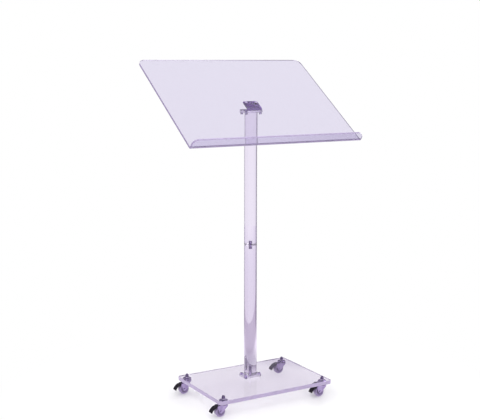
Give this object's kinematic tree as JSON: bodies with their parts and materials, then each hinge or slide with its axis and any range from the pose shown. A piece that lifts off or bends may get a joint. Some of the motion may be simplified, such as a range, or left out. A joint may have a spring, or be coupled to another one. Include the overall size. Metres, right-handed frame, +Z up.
{
  "type": "presentation lectern",
  "caption": "Clear tinted acrylic lectern: tilted reading panel with a ledge lip on a round post, over a flat base plate with braked swivel casters.",
  "frame": {"origin": "floor under the post's axis, at the middle of the overall box", "axes": "+Z up, the reader stands at -Y and looks along +Y, +X to the reader's right"},
  "size_m": [0.732, 0.4582, 1.3049],
  "materials": {
    "tinted_acrylic": "clear polished acrylic with a pale violet tint",
    "bracket_metal": "satin violet-grey coated steel",
    "screw_steel": "plain bright screws",
    "plated_steel": "zinc-plated pressed steel",
    "wheel_tread": "smooth violet-grey polyurethane",
    "wheel_hub": "moulded dark plastic",
    "lever_plastic": "black moulded plastic"
  },
  "bodies": {
    "stand": {"base_plate": "tinted_acrylic", "foot_flange": "tinted_acrylic", "foot_screws": "screw_steel", "foot_bolt": "screw_steel", "lower_post": "tinted_acrylic", "joint_stud": "screw_steel", "upper_post": "tinted_acrylic", "head_flange": "tinted_acrylic", "head_screws": "screw_steel", "head_washers": "screw_steel", "head_bracket": "bracket_metal", "reading_panel": "tinted_acrylic", "panel_screws": "screw_steel", "panel_washers": "screw_steel", "panel_nuts": "screw_steel", "cap_nuts": "plated_steel", "stem_washers": "plated_steel", "caster_stems": "plated_steel", "swivel_cups": "plated_steel", "swivel_balls": "plated_steel"},
    "caster_near_left": {"fork_near_left": "plated_steel", "axle_near_left": "plated_steel", "axle_nut_near_left": "plated_steel", "brake_pin_near_left": "plated_steel"},
    "wheel_near_left": {"tyre_near_left": "wheel_tread", "hub_near_left": "wheel_hub"},
    "brake_near_left": {"brake_lever_near_left": "lever_plastic"},
    "caster_far_left": {"fork_far_left": "plated_steel", "axle_far_left": "plated_steel", "axle_nut_far_left": "plated_steel", "brake_pin_far_left": "plated_steel"},
    "wheel_far_left": {"tyre_far_left": "wheel_tread", "hub_far_left": "wheel_hub"},
    "brake_far_left": {"brake_lever_far_left": "lever_plastic"},
    "caster_near_right": {"fork_near_right": "plated_steel", "axle_near_right": "plated_steel", "axle_nut_near_right": "plated_steel", "brake_pin_near_right": "plated_steel"},
    "wheel_near_right": {"tyre_near_right": "wheel_tread", "hub_near_right": "wheel_hub"},
    "brake_near_right": {"brake_lever_near_right": "lever_plastic"},
    "caster_far_right": {"fork_far_right": "plated_steel", "axle_far_right": "plated_steel", "axle_nut_far_right": "plated_steel", "brake_pin_far_right": "plated_steel"},
    "wheel_far_right": {"tyre_far_right": "wheel_tread", "hub_far_right": "wheel_hub"},
    "brake_far_right": {"brake_lever_far_right": "lever_plastic"}
  },
  "joints": [
    {"name": "swivel_near_left", "type": "hinge", "parent": "stand", "child": "caster_near_left", "pos_m": [-0.222, -0.177, 0.043], "axis": [0, 0, 1], "continuous": true},
    {"name": "swivel_far_left", "type": "hinge", "parent": "stand", "child": "caster_far_left", "pos_m": [-0.222, 0.117, 0.043], "axis": [0, 0, 1], "continuous": true},
    {"name": "swivel_near_right", "type": "hinge", "parent": "stand", "child": "caster_near_right", "pos_m": [0.222, -0.177, 0.043], "axis": [0, 0, 1], "continuous": true},
    {"name": "swivel_far_right", "type": "hinge", "parent": "stand", "child": "caster_far_right", "pos_m": [0.222, 0.117, 0.043], "axis": [0, 0, 1], "continuous": true},
    {"name": "roll_near_left", "type": "hinge", "parent": "caster_near_left", "child": "wheel_near_left", "pos_m": [-0.238, -0.177, 0.02], "axis": [0, 1, 0], "continuous": true},
    {"name": "roll_far_left", "type": "hinge", "parent": "caster_far_left", "child": "wheel_far_left", "pos_m": [-0.238, 0.117, 0.02], "axis": [0, 1, 0], "continuous": true},
    {"name": "roll_near_right", "type": "hinge", "parent": "caster_near_right", "child": "wheel_near_right", "pos_m": [0.206, -0.177, 0.02], "axis": [0, 1, 0], "continuous": true},
    {"name": "roll_far_right", "type": "hinge", "parent": "caster_far_right", "child": "wheel_far_right", "pos_m": [0.206, 0.117, 0.02], "axis": [0, 1, 0], "continuous": true},
    {"name": "brake_near_left", "type": "hinge", "parent": "caster_near_left", "child": "brake_near_left", "pos_m": [-0.249, -0.177, 0.041], "axis": [0, -1, 0], "range_deg": [0, 12]},
    {"name": "brake_far_left", "type": "hinge", "parent": "caster_far_left", "child": "brake_far_left", "pos_m": [-0.249, 0.117, 0.041], "axis": [0, -1, 0], "range_deg": [0, 12]},
    {"name": "brake_near_right", "type": "hinge", "parent": "caster_near_right", "child": "brake_near_right", "pos_m": [0.195, -0.177, 0.041], "axis": [0, -1, 0], "range_deg": [0, 12]},
    {"name": "brake_far_right", "type": "hinge", "parent": "caster_far_right", "child": "brake_far_right", "pos_m": [0.195, 0.117, 0.041], "axis": [0, -1, 0], "range_deg": [0, 12]}
  ]
}
